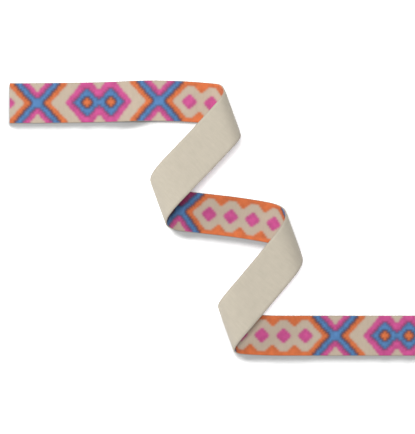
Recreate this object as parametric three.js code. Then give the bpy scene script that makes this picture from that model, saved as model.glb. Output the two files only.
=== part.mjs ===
// A length of narrow patterned webbing laid out in a zigzag of two loose loops.
// Each loop is a half-turn over, at the right, and a half-turn back, at the left, both on a slant,
// so three stretches lie on the table with the pattern up and two cross above them with the back up.
// Millimetres, +X along the stretches, +Z up, origin on the table under the middle of the whole.
import * as THREE from "three";

// The strip as woven, before it is laid
const length = 830;
const width = 38;
const thickness = 1.4;

// How the folds lie
const foldSlant = THREE.MathUtils.degToRad(20);
const halfTurn = THREE.MathUtils.degToRad(180);
const riseAngle = THREE.MathUtils.degToRad(14.5);

// Fineness of the surface
const stepsAlong = 230;
const stepsAcross = 4;
const profileSteps = 200;

// The first stretch lifts off the table and levels out before its loop.
// at: middle of the bend along the strip, square: 0 for a round side, up to 1 for a steep flat one.
const liftOff = { at: 97, length: 32, slant: 0, turn: riseAngle, square: 0 };
const levelOut = { at: 135, length: 32, slant: 0, turn: -riseAngle, square: 0 };
const firstOver = { at: 221.5, length: 61.5, slant: foldSlant, turn: halfTurn, square: 0.8 };
const secondOver = { at: 496.5, length: 74, slant: foldSlant, turn: halfTurn, square: 0.4 };
const firstBackAt = 350;
const secondBackAt = 621.5;

// Webbing also bows a little edgewise: the heading in degrees that its centre line has as it is laid.
const bow = [
  { at: 0, heading: 0 },
  { at: 95, heading: 1.4 },
  { at: 157, heading: -1.8 },
  { at: 218, heading: -9.2 },
  { at: 290, heading: -5.8 },
  { at: 418, heading: -6.4 },
  { at: 480, heading: -12.2 },
  { at: 551, heading: -10 },
  { at: 617, heading: -9.4 },
  { at: 684, heading: 0 },
  { at: length, heading: 0 },
];

// Value of a table's column at a place along the strip, straight between its rows.
function columnAt(rows, column, at) {
  const next = rows.findIndex((row) => row.at >= at);
  if (next < 0) return rows[rows.length - 1][column];
  if (next === 0) return rows[0][column];
  const before = rows[next - 1];
  const after = rows[next];
  const share = (at - before.at) / (after.at - before.at);
  return THREE.MathUtils.lerp(before[column], after[column], share);
}

// The centre line of the flat strip, a point each millimetre.
function centreLineOf(rows) {
  const points = [new THREE.Vector3()];
  for (let at = 1; at <= length; at += 1) {
    const heading = THREE.MathUtils.degToRad(columnAt(rows, "heading", at - 0.5));
    const step = new THREE.Vector3(Math.cos(heading), Math.sin(heading), 0);
    points.push(points[at - 1].clone().add(step));
  }
  return points;
}

const centreLine = centreLineOf(bow);

// A place on the flat strip: so far along it, and so far across it from the centre line.
function flatPlace(along, across) {
  const base = Math.min(Math.floor(along), length - 1);
  const heading = THREE.MathUtils.degToRad(columnAt(bow, "heading", along));
  const sideways = new THREE.Vector3(-Math.sin(heading), Math.cos(heading), 0);
  const onCentre = centreLine[base].clone().lerp(centreLine[base + 1], along - base);
  return onCentre.addScaledVector(sideways, across);
}

// Share of its turn that a bend has made at a share of its length: it starts and ends gently.
function turnedShare(share, square) {
  const swell = ((1 - square) * Math.sin(2 * Math.PI * share)) / (2 * Math.PI);
  const steepSide = (square * Math.sin(4 * Math.PI * share)) / (4 * Math.PI);
  return share - swell - steepSide;
}

// Side view of a bend: how far forward and up the strip has gone at each step through it.
function profileOf({ length: bendLength, turn, square }) {
  const stepLength = bendLength / profileSteps;
  const profile = [{ forward: 0, up: 0 }];
  for (let step = 1; step <= profileSteps; step += 1) {
    const angle = turn * turnedShare((step - 0.5) / profileSteps, square);
    const { forward, up } = profile[step - 1];
    profile.push({
      forward: forward + Math.cos(angle) * stepLength,
      up: up + Math.sin(angle) * stepLength,
    });
  }
  return profile;
}

// A bend ready to use: its rulings are straight lines across the flat strip at the bend's slant.
function makeBend(shape) {
  const forward = new THREE.Vector3(Math.cos(shape.slant), Math.sin(shape.slant), 0);
  const axis = new THREE.Vector3(Math.sin(shape.slant), -Math.cos(shape.slant), 0);
  const start = flatPlace(shape.at, 0).addScaledVector(forward, -shape.length / 2);
  return { ...shape, forward, axis, start, profile: profileOf(shape) };
}

// Where a bend carries a point of the strip, and the way the pattern faces there.
function carry(bend, flat, point, facing) {
  const past = flat.clone().sub(bend.start).dot(bend.forward);
  if (past <= 0) return;
  const share = Math.min(past / bend.length, 1);
  const step = Math.min(Math.floor(share * profileSteps), profileSteps - 1);
  const between = share * profileSteps - step;
  const before = bend.profile[step];
  const after = bend.profile[step + 1];
  const turned = new THREE.Quaternion();
  turned.setFromAxisAngle(bend.axis, bend.turn * turnedShare(share, bend.square));
  point.sub(bend.start).addScaledVector(bend.forward, -share * bend.length);
  point.applyQuaternion(turned).add(bend.start);
  point.addScaledVector(bend.forward, THREE.MathUtils.lerp(before.forward, after.forward, between));
  point.z += THREE.MathUtils.lerp(before.up, after.up, between);
  facing.applyQuaternion(turned);
}

// A place on the strip once all the bends are made, from the last to the first.
function laidPlace(bends, along, across) {
  const flat = flatPlace(along, across);
  const point = flat.clone();
  const facing = new THREE.Vector3(0, 0, 1);
  for (const bend of [...bends].reverse()) carry(bend, flat, point, facing);
  return { point, facing };
}

// The half-turn back is as long as brings the strip down to the table again from where it is.
function backToTable(bends, at) {
  const height = laidPlace(bends, at, 0).point.z;
  const unitTurn = { length: 1, turn: halfTurn, square: 0 };
  const rise = profileOf(unitTurn)[profileSteps].up;
  return makeBend({ ...unitTurn, at, length: height / rise, slant: foldSlant });
}

function makeBends() {
  const bends = [liftOff, levelOut, firstOver].map(makeBend);
  bends.push(backToTable(bends, firstBackAt));
  bends.push(makeBend(secondOver));
  bends.push(backToTable(bends, secondBackAt));
  return bends;
}

// Rows of facets follow the folds' slant between the first bend and the last, and stand square at the ends.
function alongOf(x, across) {
  const squareEnd = 60;
  const slanted = THREE.MathUtils.clamp(Math.min(x, length - x) / squareEnd, 0, 1);
  return x - across * Math.tan(foldSlant) * slanted;
}

function makeWebbing() {
  const bends = makeBends();
  const strip = new THREE.BoxGeometry(length, width, thickness, stepsAlong, stepsAcross, 1);
  const corners = strip.getAttribute("position");
  const corner = new THREE.Vector3();
  for (let index = 0; index < corners.count; index += 1) {
    corner.fromBufferAttribute(corners, index);
    const along = alongOf(corner.x + length / 2, corner.y);
    const { point, facing } = laidPlace(bends, along, corner.y);
    point.addScaledVector(facing, corner.z);
    corners.setXYZ(index, point.x, point.y, point.z + thickness / 2);
  }
  strip.computeBoundingBox();
  const middle = strip.boundingBox.getCenter(new THREE.Vector3());
  strip.translate(-middle.x, -middle.y, -strip.boundingBox.min.z);
  strip.computeVertexNormals();
  const cloth = new THREE.MeshStandardMaterial({ color: 0xc8bea8, roughness: 0.9, metalness: 0 });
  const webbing = new THREE.Mesh(strip, cloth);
  webbing.name = "webbing";
  return webbing;
}

const part = new THREE.Group();
part.add(makeWebbing());

export default part;
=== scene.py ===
import math

import bpy
import numpy as np
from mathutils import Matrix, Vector


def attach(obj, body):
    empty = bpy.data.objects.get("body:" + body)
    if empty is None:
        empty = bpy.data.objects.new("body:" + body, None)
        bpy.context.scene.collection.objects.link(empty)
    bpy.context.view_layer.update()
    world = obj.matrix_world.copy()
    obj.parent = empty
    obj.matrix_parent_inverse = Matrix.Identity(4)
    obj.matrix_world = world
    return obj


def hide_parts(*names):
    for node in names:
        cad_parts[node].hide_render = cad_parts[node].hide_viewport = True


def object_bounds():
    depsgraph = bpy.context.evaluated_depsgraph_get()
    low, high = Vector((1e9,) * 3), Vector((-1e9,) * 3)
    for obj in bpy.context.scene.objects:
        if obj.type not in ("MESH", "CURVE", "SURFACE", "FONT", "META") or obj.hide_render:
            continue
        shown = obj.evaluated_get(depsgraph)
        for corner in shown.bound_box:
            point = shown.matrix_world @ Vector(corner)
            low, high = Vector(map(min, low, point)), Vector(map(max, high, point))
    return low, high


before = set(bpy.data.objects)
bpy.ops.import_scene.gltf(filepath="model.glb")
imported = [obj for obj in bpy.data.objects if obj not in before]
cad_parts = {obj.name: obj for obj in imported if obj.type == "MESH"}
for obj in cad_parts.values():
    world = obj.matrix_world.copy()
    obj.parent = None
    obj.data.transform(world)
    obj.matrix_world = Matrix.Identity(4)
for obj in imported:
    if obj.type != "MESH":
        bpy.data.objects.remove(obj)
cad_low, cad_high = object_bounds()

# The webbing: one length of cotton jacquard tape 38 mm wide, woven as a flat strip.
# It is laid out by hand in a zigzag of two loose loops, so every fold in it is a bend
# about a straight line that lies on a slant across the strip.
strip_length = 0.830
strip_width = 0.038
strip_thickness = 0.0014
half_width = strip_width / 2
half_thick = strip_thickness / 2
fold_slant = math.radians(20)
rise_angle = math.radians(14.5)
half_turn = math.pi
profile_steps = 200

# The strip also bows a little edgewise: where along it, and the heading it has there.
millimetre = 0.001
bow_at = np.array([0, 95, 157, 218, 290, 418, 480, 551, 617, 684, 830]) * millimetre
bow_heading = np.radians([0, 1.4, -1.8, -9.2, -5.8, -6.4, -12.2, -10, -9.4, 0, 0])
each_millimetre = np.linspace(0, strip_length, round(strip_length / millimetre) + 1)
mid_heading = np.interp(each_millimetre[1:] - millimetre / 2, bow_at, bow_heading)
centre_x = np.concatenate([[0], np.cumsum(np.cos(mid_heading))]) * millimetre
centre_y = np.concatenate([[0], np.cumsum(np.sin(mid_heading))]) * millimetre


# Where a point of the strip lies while it is still flat.
def flat_place(along, across):
    heading = np.interp(along, bow_at, bow_heading)
    x = np.interp(along, each_millimetre, centre_x) - np.sin(heading) * across
    y = np.interp(along, each_millimetre, centre_y) + np.cos(heading) * across
    return np.stack([x, y], -1)


# Share of its turn that a bend has made at a share of its length.
# Square is 0 for a bend with a round side, and up to 1 for one with a steep flat side.
def turned_share(share, square):
    swell = (1 - square) * np.sin(2 * math.pi * share) / (2 * math.pi)
    steep_side = square * np.sin(4 * math.pi * share) / (4 * math.pi)
    return share - swell - steep_side


# A bend and its side view: how far ahead and up the strip has gone at each step through it.
def bend_here(at, length, slant, turn, square=0):
    share = (np.arange(profile_steps) + 0.5) / profile_steps
    angle = turn * turned_share(share, square)
    step = length / profile_steps
    forward = np.array([math.cos(slant), math.sin(slant)])
    return {
        "length": length,
        "turn": turn,
        "square": square,
        "forward": forward,
        "start": flat_place(at, 0) - forward * length / 2,
        "ahead": np.concatenate([[0], np.cumsum(np.cos(angle) * step)]),
        "up": np.concatenate([[0], np.cumsum(np.sin(angle) * step)]),
    }


def swing(ahead, up, angle):
    return (
        ahead * np.cos(angle) - up * np.sin(angle),
        ahead * np.sin(angle) + up * np.cos(angle),
    )


# Where the bends carry points of the strip, made from the last to the first,
# and the way that the patterned face looks there.
def laid_place(bends, along, across):
    flat = flat_place(along, across)
    place = np.concatenate([flat, np.zeros((len(flat), 1))], 1)
    facing = np.zeros_like(place)
    facing[:, 2] = 1
    steps = np.linspace(0, 1, profile_steps + 1)
    for bend in reversed(bends):
        past = (flat - bend["start"]) @ bend["forward"]
        bent = past > 0
        share = np.clip(past[bent] / bend["length"], 0, 1)
        angle = bend["turn"] * turned_share(share, bend["square"])
        ahead = (place[bent, :2] - bend["start"]) @ bend["forward"]
        beyond, lifted = swing(ahead - share * bend["length"], place[bent, 2], angle)
        beyond += np.interp(share, steps, bend["ahead"])
        lifted += np.interp(share, steps, bend["up"])
        place[bent, :2] += (beyond - ahead)[:, None] * bend["forward"]
        place[bent, 2] = lifted
        leaning = facing[bent, :2] @ bend["forward"]
        leant, upright = swing(leaning, facing[bent, 2], angle)
        facing[bent, :2] += (leant - leaning)[:, None] * bend["forward"]
        facing[bent, 2] = upright
    return place, facing


# The half-turn back is as long as brings the strip down to the table again.
def back_to_table(bends, at):
    unit = bend_here(at, length=1, slant=fold_slant, turn=half_turn)
    height = laid_place(bends, np.array([at]), np.array([0.0]))[0][0, 2]
    return bend_here(at, length=height / unit["up"][-1], slant=fold_slant, turn=half_turn)


# The strip lifts off the table, levels out, and then turns over and back, twice.
folds = [
    bend_here(at=0.097, length=0.032, slant=0, turn=rise_angle),
    bend_here(at=0.135, length=0.032, slant=0, turn=-rise_angle),
    bend_here(at=0.2215, length=0.0615, slant=fold_slant, turn=half_turn, square=0.8),
]
folds.append(back_to_table(folds, at=0.350))
folds.append(bend_here(at=0.4965, length=0.074, slant=fold_slant, turn=half_turn, square=0.4))
folds.append(back_to_table(folds, at=0.6215))

# The weave is counted: 38 ends across, and 228 picks of weft to each repeat of the pattern.
# A repeat holds a cross, a double diamond with two dots, a cross again, and a chain of
# four small diamonds between scalloped borders. Their places are picks from the first cross.
ends_across = 38
repeat_picks = 228
pick_pitch = 0.2358 / repeat_picks
pick_count = int(strip_length / pick_pitch) + 1
picks_before_cross = 25
crosses = (0, 113, repeat_picks)
dots = (45.5, 67.5)
diamonds = (140.5, 160.5, 180.5, 200.5)
cream, orange, pink, blue = range(4)

# Sizes of the pattern's forms in ends from the middle of the strip. An arm of a cross is
# banded orange, blue and pink towards its inside, and a cream wedge fills what is left.
arm_slope = 1.149
orange_arm, blue_arm, pink_arm, cream_wedge = 13.9, 5.8, -3.05, -10.6
pink_arm_from = 4.3
wide_waist, narrow_waist = 4.7, 2.7
narrow_waist_from = 10
dot_half_length = 4.6
border_from = 14.5
scallop_slope = 0.967
scallop_flat = 3.12


def nearest(place, middles):
    return np.min([np.abs(place - middle) for middle in middles], axis=0)


def lozenge(from_middle, from_axis, slope, reach, blunt=math.inf):
    return (slope * from_middle + from_axis < reach) & (from_axis < blunt)


# The colour of the yarn at each pick and end. The pattern steps by two ends.
def charted(pick, end):
    place = (pick - picks_before_cross) % repeat_picks
    from_axis = 2 * np.abs(np.round((end - (ends_across - 1) / 2) / 2))
    from_dot = nearest(place, dots)
    from_diamond = nearest(place, diamonds)
    yarn = np.full(place.shape, cream)

    waist = np.where(from_dot > narrow_waist_from, narrow_waist, wide_waist)
    in_waist = (place > dots[0]) & (place < dots[1]) & (from_axis < waist)
    in_dot = lozenge(from_dot, from_axis, slope=1.035, reach=6.2) & (from_dot < dot_half_length)
    yarn[lozenge(from_dot, from_axis, slope=1.24, reach=25.4)] = pink
    yarn[lozenge(from_dot, from_axis, slope=1.089, reach=14.1, blunt=12.8) | in_waist] = blue
    yarn[in_dot] = orange

    in_chain = (place > diamonds[0]) & (place < diamonds[-1])
    scallop = scallop_slope * np.maximum(from_diamond - scallop_flat, 0) * in_chain
    yarn[(place > crosses[1]) & (from_axis > border_from - scallop)] = orange
    yarn[lozenge(from_diamond, from_axis, slope=1.25, reach=9.1, blunt=7)] = pink

    arm = arm_slope * nearest(place, crosses) - from_axis
    yarn[arm < orange_arm] = orange
    yarn[arm < blue_arm] = blue
    yarn[(arm < pink_arm) & (from_axis > pink_arm_from)] = pink
    yarn[arm < cream_wedge] = cream
    return yarn


chart = charted(*np.meshgrid(np.arange(pick_count), np.arange(ends_across), indexing="ij"))


def around(values, chosen):
    padded = np.pad(values, 1, mode="edge")
    rows, columns = values.shape
    near = [padded[row : row + rows, column : column + columns] for row in range(3) for column in range(3)]
    return chosen(near, axis=0)


# Each corner of the chart knows the colours that meet there. Between two colours the floats dive
# into the cloth and leave a groove, which also gets a painted shade, and towards the middle of a
# coloured band they rise and get a painted highlight.
pink_groove = 0.65
groove_fade = 0.5
border_fade = 0.4
padding_steps = 3
padded_chart = np.pad(chart, 1, mode="edge")
before, after = padded_chart[:-1], padded_chart[1:]
corners = np.stack([before[:, :-1], after[:, :-1], before[:, 1:], after[:, 1:]])
dyed_yarns = (orange, pink, blue)
shares = np.stack([around((corners == colour).mean(0), np.mean) for colour in dyed_yarns], -1)
one_colour = (corners == corners[0]).all(0)
border = 1.0 - one_colour
# The groove mask sets both the real depth of the groove and a painted shade in the face's tone.
groove_and_shade = border * (corners != cream).all(0) * np.where((corners == pink).any(0), pink_groove, 1)
groove_and_shade = np.maximum(groove_and_shade, groove_fade * around(groove_and_shade, np.max))
border = np.maximum(border, border_fade * around(border, np.max))
# The padding sets both the real rise of the floats and a painted highlight in the face's tone.
padding_and_highlight = np.zeros(groove_and_shade.shape)
well_inside = one_colour & (corners[0] != cream)
for _ in range(padding_steps):
    padding_and_highlight += well_inside / padding_steps
    well_inside = around(well_inside, np.min)
padding_and_highlight = around(padding_and_highlight, np.mean)

# Two rows of corners to each pick, at its sides and on its crown, give the ribs that run across.
float_height = 0.00042
groove_depth = 0.00012
face_rib_height = 0.00009
back_rib_height = 0.00006
ground_sunk = 0.00008
side_bulge = 0.00025
row_share = np.arange(2 * pick_count + 1) / 2
row_along = np.clip(row_share * pick_pitch, 0, strip_length)
from_rib_middle = (np.arange(len(row_share)) % 2 - 0.5)[:, None]
between_picks = (row_share - np.floor(row_share))[:, None]
low_row = np.floor(row_share).astype(int)
high_row = np.minimum(low_row + 1, pick_count)


def by_row(values):
    spread = between_picks if values.ndim == 2 else between_picks[..., None]
    return values[low_row] * (1 - spread) + values[high_row] * spread


def rounded_off(across, start, run, depth):
    return depth * np.clip((np.abs(across) - start) / run, 0, 1) ** 2


front_across = np.linspace(-1, 1, ends_across + 1) * (half_width - side_bulge)
back_across = front_across[::-2]
front_height = half_thick - ground_sunk + by_row(float_height * padding_and_highlight - groove_depth * groove_and_shade)
front_height += face_rib_height * from_rib_middle
front_height -= rounded_off(front_across, start=0.0168, run=0.0022, depth=0.00030)
back_height = -half_thick - back_rib_height * from_rib_middle
back_height = back_height + rounded_off(back_across, start=0.0165, run=0.0025, depth=0.00022)
side_height = np.zeros((len(row_along), 1))
ring_across = np.concatenate([front_across, [half_width], back_across, [-half_width]])
ring_height = np.concatenate([front_height, side_height, back_height, side_height], 1)

along = np.repeat(row_along, len(ring_across))
across = np.tile(ring_across, len(row_along))
place, facing = laid_place(folds, along, across)
plain = np.concatenate([place + facing * half_thick, place - facing * half_thick])
to_frame = (np.array(cad_low) + np.array(cad_high)) / 2 - (plain.min(0) + plain.max(0)) / 2
skin = place + facing * ring_height.reshape(-1, 1) + to_frame

ring = len(ring_across)
row_number, ring_number = np.meshgrid(np.arange(len(row_along) - 1), np.arange(ring), indexing="ij")
here = row_number * ring + ring_number
beside = row_number * ring + (ring_number + 1) % ring
quads = np.stack([here, here + ring, beside + ring, beside], -1).reshape(-1, 4)
first_end = list(range(ring))
last_end = list(range((len(row_along) - 1) * ring, len(row_along) * ring))[::-1]

webbing_mesh = bpy.data.meshes.new("webbing_cloth")
webbing_mesh.from_pydata(skin.tolist(), [], [*quads.tolist(), first_end, last_end])
webbing = bpy.data.objects.new("webbing_cloth", webbing_mesh)
bpy.context.scene.collection.objects.link(webbing)


def keep_on(mesh, name, kind, domain, values):
    field = "value" if kind == "FLOAT" else "vector"
    kept = mesh.attributes.new(name, kind, domain)
    kept.data.foreach_set(field, np.ascontiguousarray(values, np.float32).ravel())


# What the finish of the cloth reads: the place in the weave, and the colours, borders and relief.
def on_face(values):
    kept = np.zeros((len(row_along), ring, *values.shape[2:]))
    kept[:, : ends_across + 1] = by_row(values)
    kept[:, ends_across + 1] = kept[:, ends_across]
    kept[:, -1] = kept[:, 0]
    return kept


face_colour = np.zeros((len(row_along) - 1, ring, len(dyed_yarns)))
for number, colour in enumerate(dyed_yarns):
    face_colour[:, :ends_across, number] = np.repeat(chart == colour, 2, axis=0)
face_colour[:, ends_across] = face_colour[:, ends_across - 1]
face_colour[:, -1] = face_colour[:, 0]
every_face = np.concatenate([face_colour.reshape(-1, 3), np.zeros((2, 3))])
weave_place = np.stack([along / pick_pitch, across / strip_width * ends_across, np.zeros_like(along)], -1)
keep_on(webbing_mesh, "weave_place", "FLOAT_VECTOR", "POINT", weave_place)
keep_on(webbing_mesh, "colours_beside", "FLOAT_VECTOR", "POINT", on_face(shares))
keep_on(webbing_mesh, "colour_border", "FLOAT", "POINT", on_face(border))
keep_on(webbing_mesh, "colour_groove_and_shade", "FLOAT", "POINT", on_face(groove_and_shade))
keep_on(webbing_mesh, "float_padding_and_highlight", "FLOAT", "POINT", on_face(padding_and_highlight))
keep_on(webbing_mesh, "yarn_colour", "FLOAT_VECTOR", "FACE", every_face)
is_back = np.zeros((len(row_along) - 1, ring), int)
is_back[:, ends_across + 1 : -1] = 1
webbing_mesh.polygons.foreach_set("use_smooth", np.append(np.ones(len(quads), bool), [False, False]))
webbing_mesh.polygons.foreach_set("material_index", np.append(is_back.ravel(), [1, 1]).astype(np.int32))


def with_sockets(tree, inputs, outputs):
    for in_out, sockets in (("INPUT", inputs), ("OUTPUT", outputs)):
        for name, kind in sockets.items():
            tree.interface.new_socket(name=name, in_out=in_out, socket_type="NodeSocket" + kind)
    return tree.nodes.new("NodeGroupInput"), tree.nodes.new("NodeGroupOutput")


def plug(tree, value, socket):
    if isinstance(value, bpy.types.NodeSocket):
        tree.links.new(value, socket)
    else:
        socket.default_value = value


# The yarns are dyed before weaving: the shares of orange, pink and blue colour a cream ground.
cream_dye = (0.450, 0.368, 0.284)
dyes = {"X": (0.460, 0.112, 0.035), "Y": (0.400, 0.056, 0.188), "Z": (0.058, 0.148, 0.312)}
dyed_cotton = bpy.data.node_groups.new("Dyed cotton", "ShaderNodeTree")
given, result = with_sockets(dyed_cotton, {"Shares": "Vector"}, {"Color": "Color"})
apart = dyed_cotton.nodes.new("ShaderNodeSeparateXYZ")
dyed_cotton.links.new(given.outputs["Shares"], apart.inputs[0])
dyed = cream_dye
for axis, dye in dyes.items():
    added = dyed_cotton.nodes.new("ShaderNodeVectorMath")
    added.operation = "MULTIPLY_ADD"
    plug(dyed_cotton, apart.outputs[axis], added.inputs[0])
    plug(dyed_cotton, np.subtract(dye, cream_dye), added.inputs[1])
    plug(dyed_cotton, dyed, added.inputs[2])
    dyed = added.outputs[0]
dyed_cotton.links.new(dyed, result.inputs["Color"])


def maths(tree, operation, *values):
    node = tree.nodes.new("ShaderNodeMath")
    node.operation = operation
    for socket, value in zip(node.inputs, values):
        plug(tree, value, socket)
    return node.outputs[0]


def cotton_noise(tree, place, scale, detail):
    node = tree.nodes.new("ShaderNodeTexNoise")
    node.inputs["Scale"].default_value = scale
    node.inputs["Detail"].default_value = detail
    tree.links.new(place, node.inputs["Vector"])
    return node.outputs["Fac"]


def drawn_out(tree, place, scale):
    node = tree.nodes.new("ShaderNodeMapping")
    node.inputs["Scale"].default_value = scale
    tree.links.new(place, node.inputs["Vector"])
    return node.outputs["Vector"]


def thread_crowns(tree, count):
    return maths(tree, "ABSOLUTE", maths(tree, "SINE", maths(tree, "MULTIPLY", count, math.pi)))


# Ends and picks cross one over one, each a rounded thread with fibres along it.
# Place counts picks along and ends across, and Floats is 1 where the weft runs over the ends.
woven_yarn = bpy.data.node_groups.new("Woven yarn", "ShaderNodeTree")
given, result = with_sockets(
    woven_yarn,
    {"Place": "Vector", "Floats": "Float"},
    {"Height": "Float", "Tone": "Float"},
)
weave_count = given.outputs["Place"]
floats = given.outputs["Floats"]
counts = woven_yarn.nodes.new("ShaderNodeSeparateXYZ")
woven_yarn.links.new(weave_count, counts.inputs[0])
picks = counts.outputs["X"]
ends = maths(woven_yarn, "MULTIPLY", counts.outputs["Y"], 2)
checker = maths(woven_yarn, "ADD", maths(woven_yarn, "FLOOR", picks), maths(woven_yarn, "FLOOR", ends))
weft_up = maths(woven_yarn, "PINGPONG", checker, 1)
weft_on_top = maths(woven_yarn, "MAXIMUM", weft_up, floats)
warp_on_top = maths(woven_yarn, "SUBTRACT", 1, weft_on_top)
weft_height = maths(woven_yarn, "MULTIPLY", thread_crowns(woven_yarn, picks), weft_on_top)
thread_height = maths(woven_yarn, "MULTIPLY_ADD", thread_crowns(woven_yarn, ends), warp_on_top, weft_height)
along_fibres = drawn_out(woven_yarn, weave_count, (2.6, 0.7, 1))
fibres = cotton_noise(woven_yarn, along_fibres, scale=3.2, detail=3)

# The tone of the yarn is near 1: some picks are lighter, the dye takes unevenly, most of all in
# the coloured floats, fibres catch the light, and the crowns of the threads get a painted highlight.
plain_tone = 0.83
pick_tone = 0.14
ground_cloud = 0.12
float_cloud = 0.50
fibre_tone = 0.12
crown_painted_highlight = 0.08
fibre_relief = 0.35
along_picks = drawn_out(woven_yarn, weave_count, (0.55, 0.10, 1))
pick_streaks = cotton_noise(woven_yarn, along_picks, scale=1, detail=2)
uneven_dye = cotton_noise(woven_yarn, weave_count, scale=0.16, detail=4)
lighter_dye = maths(woven_yarn, "SUBTRACT", uneven_dye, 0.5)
dye_swing = maths(woven_yarn, "MULTIPLY_ADD", floats, float_cloud, ground_cloud)
streaked = maths(woven_yarn, "MULTIPLY_ADD", pick_streaks, pick_tone, plain_tone)
cloudy = maths(woven_yarn, "MULTIPLY_ADD", lighter_dye, dye_swing, streaked)
speckled = maths(woven_yarn, "MULTIPLY_ADD", fibres, fibre_tone, cloudy)
# Painted highlight: the crowns of the threads are toned lighter.
tone = maths(woven_yarn, "MULTIPLY_ADD", thread_height, crown_painted_highlight, speckled)
full_height = maths(woven_yarn, "MULTIPLY_ADD", fibres, fibre_relief, thread_height)
woven_yarn.links.new(full_height, result.inputs["Height"])
woven_yarn.links.new(tone, result.inputs["Tone"])


def named(tree, name):
    node = tree.nodes.new("ShaderNodeAttribute")
    node.attribute_name = name
    return node


def group(tree, made):
    node = tree.nodes.new("ShaderNodeGroup")
    node.node_tree = made
    return node


def toned(tree, colour, tone):
    scaled = tree.nodes.new("ShaderNodeVectorMath")
    scaled.operation = "SCALE"
    plug(tree, colour, scaled.inputs[0])
    plug(tree, tone, scaled.inputs["Scale"])
    return scaled.outputs[0]


def cotton_finish(name, roughness):
    finish = bpy.data.materials.new(name)
    finish.use_nodes = True
    cloth = finish.node_tree.nodes["Principled BSDF"]
    cloth.inputs["Roughness"].default_value = roughness
    cloth.inputs["Specular IOR Level"].default_value = 0.25
    cloth.inputs["Sheen Weight"].default_value = 0.10
    cloth.inputs["Sheen Roughness"].default_value = 0.5
    return finish, finish.node_tree, cloth


def embossed(tree, cloth, height, depth):
    relief = tree.nodes.new("ShaderNodeBump")
    relief.inputs["Distance"].default_value = depth
    relief.inputs["Strength"].default_value = 0.8
    tree.links.new(height, relief.inputs["Height"])
    tree.links.new(relief.outputs["Normal"], cloth.inputs["Normal"])


# The patterned face, where the coloured wefts float over the ground. The colours mix a little at
# their borders, carry a painted shade down in the grooves and a painted highlight on top of the padded
# bands.
groove_painted_shade = -0.62
padding_painted_highlight = 0.16
face, tree, cloth = cotton_finish("Patterned cotton face", roughness=0.82)
crisp = group(tree, dyed_cotton)
mixed = group(tree, dyed_cotton)
yarn_colour = named(tree, "yarn_colour").outputs["Vector"]
tree.links.new(yarn_colour, crisp.inputs["Shares"])
tree.links.new(named(tree, "colours_beside").outputs["Vector"], mixed.inputs["Shares"])
blend = tree.nodes.new("ShaderNodeMix")
blend.data_type = "RGBA"
blended = {socket.identifier: socket for socket in (*blend.inputs, *blend.outputs)}
tree.links.new(named(tree, "colour_border").outputs["Fac"], blended["Factor_Float"])
tree.links.new(crisp.outputs["Color"], blended["A_Color"])
tree.links.new(mixed.outputs["Color"], blended["B_Color"])
woven = group(tree, woven_yarn)
tree.links.new(named(tree, "weave_place").outputs["Vector"], woven.inputs["Place"])
floating = tree.nodes.new("ShaderNodeVectorMath")
floating.operation = "LENGTH"
tree.links.new(yarn_colour, floating.inputs[0])
tree.links.new(floating.outputs["Value"], woven.inputs["Floats"])
groove_shade_here = named(tree, "colour_groove_and_shade").outputs["Fac"]
highlight_here = named(tree, "float_padding_and_highlight").outputs["Fac"]
# Painted shade: the tone is darker down in the grooves between colours.
with_groove_shade = maths(tree, "MULTIPLY_ADD", groove_shade_here, groove_painted_shade, 1)
# Painted highlight: the tone is lighter on top of the padded bands.
with_painted_highlight = maths(tree, "MULTIPLY_ADD", highlight_here, padding_painted_highlight, with_groove_shade)
tone = maths(tree, "MULTIPLY", with_painted_highlight, woven.outputs["Tone"])
tree.links.new(toned(tree, blended["Result_Color"], tone), cloth.inputs["Base Color"])
embossed(tree, cloth, woven.outputs["Height"], depth=0.00016)
webbing_mesh.materials.append(face)

# The back, where the ground binds the coloured wefts out of sight.
back_cream = (0.440, 0.397, 0.322)
back, tree, cloth = cotton_finish("Plain cotton back", roughness=0.85)
woven = group(tree, woven_yarn)
tree.links.new(named(tree, "weave_place").outputs["Vector"], woven.inputs["Place"])
tree.links.new(toned(tree, back_cream, woven.outputs["Tone"]), cloth.inputs["Base Color"])
embossed(tree, cloth, woven.outputs["Height"], depth=0.00012)
webbing_mesh.materials.append(back)

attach(webbing, "root")
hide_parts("webbing")

# The selvedges: at both edges every pick of weft turns round the last end and goes back in,
# which makes a row of small rounded beads of cotton, no two quite alike.
turn_inset = 0.00035
nudge = 0.0001


# Laid points, with the directions out of the cloth's edge and up from its face.
def at_edge(along, across, out_along, out_across):
    place, facing = laid_place(folds, along, across)
    further_out = laid_place(folds, along + out_along * nudge, across + out_across * nudge)[0]
    return place + to_frame, (further_out - place) / nudge, facing


turn_along = (np.arange(pick_count - 1) + 0.5) * pick_pitch
turn_side = np.repeat([-1, 1], len(turn_along))
turn_across = turn_side * (half_width - turn_inset)
turns_at_edge = at_edge(np.tile(turn_along, 2), turn_across, out_along=0, out_across=turn_side)

weft_turns = bpy.data.node_groups.new("Weft turns", "GeometryNodeTree")
turn_inputs = {
    "Points": "Geometry", "Reach": "Float", "Half height": "Float", "Yarn radius": "Float",
    "Seed": "Int", "Yarn": "Material",
}
given, result = with_sockets(weft_turns, turn_inputs, {"Turns": "Geometry"})


def read_direction(tree, name):
    node = tree.nodes.new("GeometryNodeInputNamedAttribute")
    node.data_type = "FLOAT_VECTOR"
    node.inputs["Name"].default_value = name
    return node.outputs["Attribute"]


def turned_to(tree, primary, secondary):
    node = tree.nodes.new("FunctionNodeAxesToRotation")
    node.primary_axis = primary
    node.secondary_axis = secondary
    tree.links.new(read_direction(tree, "outward"), node.inputs["Primary Axis"])
    tree.links.new(read_direction(tree, "upward"), node.inputs["Secondary Axis"])
    return node.outputs["Rotation"]


def uneven(tree, seed, low, high):
    node = tree.nodes.new("FunctionNodeRandomValue")
    node.data_type = "FLOAT_VECTOR"
    node.inputs["Min"].default_value = low
    node.inputs["Max"].default_value = high
    tree.links.new(seed, node.inputs["Seed"])
    return node.outputs["Value"]


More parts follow.
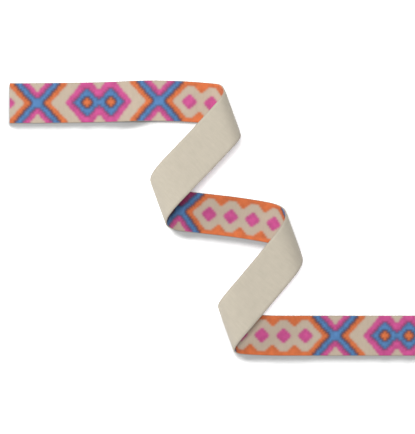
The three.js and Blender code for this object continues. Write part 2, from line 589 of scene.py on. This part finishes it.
def set_along(tree, given, piece, rotation, scale, out):
    placed = tree.nodes.new("GeometryNodeInstanceOnPoints")
    tree.links.new(given.outputs["Points"], placed.inputs["Points"])
    tree.links.new(piece, placed.inputs["Instance"])
    tree.links.new(rotation, placed.inputs["Rotation"])
    tree.links.new(scale, placed.inputs["Scale"])
    real = tree.nodes.new("GeometryNodeRealizeInstances")
    tree.links.new(placed.outputs["Instances"], real.inputs["Geometry"])
    smooth = tree.nodes.new("GeometryNodeSetShadeSmooth")
    tree.links.new(real.outputs["Geometry"], smooth.inputs["Geometry"])
    finished = tree.nodes.new("GeometryNodeSetMaterial")
    tree.links.new(smooth.outputs["Geometry"], finished.inputs["Geometry"])
    tree.links.new(given.outputs["Yarn"], finished.inputs["Material"])
    tree.links.new(finished.outputs["Geometry"], out)


half_round = weft_turns.nodes.new("GeometryNodeCurveArc")
half_round.inputs["Resolution"].default_value = 6
half_round.inputs["Radius"].default_value = 1
half_round.inputs["Start Angle"].default_value = -math.pi / 2
half_round.inputs["Sweep Angle"].default_value = math.pi
turn_size = weft_turns.nodes.new("ShaderNodeCombineXYZ")
turn_size.inputs["Z"].default_value = 1
weft_turns.links.new(given.outputs["Reach"], turn_size.inputs["X"])
weft_turns.links.new(given.outputs["Half height"], turn_size.inputs["Y"])
sized = weft_turns.nodes.new("GeometryNodeTransform")
weft_turns.links.new(half_round.outputs["Curve"], sized.inputs["Geometry"])
weft_turns.links.new(turn_size.outputs[0], sized.inputs["Scale"])
yarn_round = weft_turns.nodes.new("GeometryNodeCurvePrimitiveCircle")
yarn_round.inputs["Resolution"].default_value = 6
weft_turns.links.new(given.outputs["Yarn radius"], yarn_round.inputs["Radius"])
turn = weft_turns.nodes.new("GeometryNodeCurveToMesh")
turn.inputs["Fill Caps"].default_value = True
weft_turns.links.new(sized.outputs["Geometry"], turn.inputs["Curve"])
weft_turns.links.new(yarn_round.outputs["Curve"], turn.inputs["Profile Curve"])
turn_rotation = turned_to(weft_turns, "X", "Y")
turn_scale = uneven(weft_turns, given.outputs["Seed"], low=(0.80, 0.94, 1.30), high=(1.20, 1.06, 1.50))
set_along(weft_turns, given, turn.outputs["Mesh"], turn_rotation, turn_scale, result.inputs["Turns"])

# The selvedge yarn is coloured darker than the face's cream, a painted shade for the edges, which roll away
# from the light. The cut stubs use the same yarn.
selvedge_shaded_cream = (0.400, 0.350, 0.285)
selvedge_shaded_tone = 0.76
selvedge_fibre_tone = 0.30
selvedge_yarn, tree, cloth = cotton_finish("Selvedge cotton", roughness=0.85)
where = tree.nodes.new("ShaderNodeTexCoord")
fibres = cotton_noise(tree, where.outputs["Object"], scale=2600, detail=3)
selvedge_tone = maths(tree, "MULTIPLY_ADD", fibres, selvedge_fibre_tone, selvedge_shaded_tone)
tree.links.new(toned(tree, selvedge_shaded_cream, selvedge_tone), cloth.inputs["Base Color"])
embossed(tree, cloth, fibres, depth=0.00006)


def grown(name, places, outward, upward, tree, sizes):
    points = bpy.data.meshes.new(name)
    points.from_pydata(places.tolist(), [], [])
    keep_on(points, "outward", "FLOAT_VECTOR", "POINT", outward)
    keep_on(points, "upward", "FLOAT_VECTOR", "POINT", upward)
    piece = bpy.data.objects.new(name, points)
    bpy.context.scene.collection.objects.link(piece)
    growth = piece.modifiers.new(tree.name, "NODES")
    growth.node_group = tree
    for socket in tree.interface.items_tree:
        if socket.name in sizes:
            growth[socket.identifier] = sizes[socket.name]
    evaluated = piece.evaluated_get(bpy.context.evaluated_depsgraph_get())
    made = bpy.data.meshes.new_from_object(evaluated)
    piece.modifiers.remove(growth)
    piece.data = made
    for direction in ("outward", "upward"):
        made.attributes.remove(made.attributes[direction])
    return piece


turn_sizes = {
    "Reach": 0.00026, "Half height": 0.00030, "Yarn radius": 0.00036, "Seed": 4, "Yarn": selvedge_yarn,
}
selvedges = grown("selvedge_turns", *turns_at_edge, weft_turns, turn_sizes)
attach(selvedges, "root")

# The cut ends: the warp was sheared straight across, so short stubs of yarn stand out
# from the cloth at both ends, in two layers, and lean a little every way.
stub_inset = 0.0007
stub_root = 0.0002
stub_layers = (0.00030, -0.00034)
stub_taper = 0.6
stub_lean = 0.25
stub_row = np.linspace(-1, 1, ends_across) * (half_width - stub_inset)
stub_end = np.repeat([-1, 1], 2 * ends_across)
stub_along = np.where(stub_end > 0, strip_length - stub_root, stub_root)
stub_place, stub_outward, stub_facing = at_edge(stub_along, np.tile(stub_row, 4), stub_end, 0)
stub_place += stub_facing * np.tile(np.repeat(stub_layers, ends_across), 2)[:, None]

cut_stubs = bpy.data.node_groups.new("Cut warp stubs", "GeometryNodeTree")
stub_inputs = {
    "Points": "Geometry", "Stub length": "Float", "Yarn radius": "Float", "Seed": "Int", "Yarn": "Material",
}
given, result = with_sockets(cut_stubs, stub_inputs, {"Stubs": "Geometry"})
stub = cut_stubs.nodes.new("GeometryNodeMeshCone")
stub.inputs["Vertices"].default_value = 6
stub.inputs["Side Segments"].default_value = 2
tip_radius = maths(cut_stubs, "MULTIPLY", given.outputs["Yarn radius"], stub_taper)
cut_stubs.links.new(given.outputs["Stub length"], stub.inputs["Depth"])
cut_stubs.links.new(given.outputs["Yarn radius"], stub.inputs["Radius Bottom"])
cut_stubs.links.new(tip_radius, stub.inputs["Radius Top"])
lean = cut_stubs.nodes.new("FunctionNodeRotateRotation")
lean.rotation_space = "LOCAL"
leaning = uneven(cut_stubs, given.outputs["Seed"], (-stub_lean, -stub_lean, 0), (stub_lean, stub_lean, 1))
cut_stubs.links.new(turned_to(cut_stubs, "Z", "X"), lean.inputs["Rotation"])
cut_stubs.links.new(leaning, lean.inputs["Rotate By"])
stub_scale = uneven(cut_stubs, given.outputs["Seed"], low=(0.8, 0.8, 0.6), high=(1.1, 1.1, 1.3))
set_along(
    cut_stubs, given, stub.outputs["Mesh"], lean.outputs["Rotation"], stub_scale, result.inputs["Stubs"]
)

stub_sizes = {"Stub length": 0.0005, "Yarn radius": 0.00032, "Seed": 9, "Yarn": selvedge_yarn}
cut_ends = grown("cut_warp_ends", stub_place, stub_outward, stub_facing, cut_stubs, stub_sizes)
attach(cut_ends, "root")

# The stage: a white table top with a little painted glow, and a painted shadow close beside whatever
# lies on it, on the side away from the light.
bpy.ops.mesh.primitive_plane_add(size=6, location=(0, 0, -0.0002))
table_top = bpy.context.object
table_top.name = "table_top"
white = bpy.data.materials.new("White table top")
white.use_nodes = True
tree = white.node_tree
laminate = tree.nodes["Principled BSDF"]
laminate.inputs["Roughness"].default_value = 0.9
laminate.inputs["Specular IOR Level"].default_value = 0.1
# Painted light: the table top glows a little.
laminate.inputs["Emission Strength"].default_value = 0.22
toward_light = tree.nodes.new("ShaderNodeNormal")
toward_light.outputs["Normal"].default_value = Vector((-0.20, 0.97, 0.15)).normalized()
sheltered = tree.nodes.new("ShaderNodeAmbientOcclusion")
sheltered.samples = 24
sheltered.inputs["Distance"].default_value = 0.012
tree.links.new(toward_light.outputs["Normal"], sheltered.inputs["Normal"])
# Painted shadow: the table top's colour and glow are darkened where the cloth close by shelters it.
painted_shadow = tree.nodes.new("ShaderNodeMapRange")
painted_shadow.inputs["From Min"].default_value = 0.84
painted_shadow.inputs["From Max"].default_value = 0.993
painted_shadow.inputs["To Min"].default_value = 0.28
painted_shadow.inputs["To Max"].default_value = 0.95
tree.links.new(sheltered.outputs["AO"], painted_shadow.inputs["Value"])
tree.links.new(painted_shadow.outputs["Result"], laminate.inputs["Base Color"])
tree.links.new(painted_shadow.outputs["Result"], laminate.inputs["Emission Color"])
table_top.data.materials.append(white)


def softbox(name, place, size, power):
    lamp = bpy.data.lights.new(name, "AREA")
    lamp.shape = "DISK"
    lamp.size = size
    lamp.energy = power
    holder = bpy.data.objects.new(name, lamp)
    holder.location = place
    holder.rotation_euler = (-Vector(place)).to_track_quat("-Z", "Y").to_euler()
    bpy.context.scene.collection.objects.link(holder)


softbox("key_softbox", place=(-0.15, 0.17, 2.0), size=0.45, power=38)
softbox("side_softbox", place=(-1.3, 0.35, 0.9), size=1.0, power=12)
world = bpy.data.worlds.new("Studio")
world.use_nodes = True
world.node_tree.nodes["Background"].inputs["Color"].default_value = (1, 1, 1, 1)
world.node_tree.nodes["Background"].inputs["Strength"].default_value = 0.24
bpy.context.scene.world = world
bpy.context.scene.view_settings.view_transform = "Standard"

# The camera hangs 950 mm straight over the middle of the photograph's frame,
# which is 394 mm wide on the table.
camera_height = 0.950
frame_width = 0.39425
camera = bpy.data.cameras.new("overhead_camera")
camera.sensor_fit = "HORIZONTAL"
camera.sensor_width = 36
camera.lens = camera.sensor_width * camera_height / frame_width
stand = bpy.data.objects.new("overhead_camera", camera)
stand.location = (-0.01495, 0.00157, camera_height)
bpy.context.scene.collection.objects.link(stand)
bpy.context.scene.camera = stand
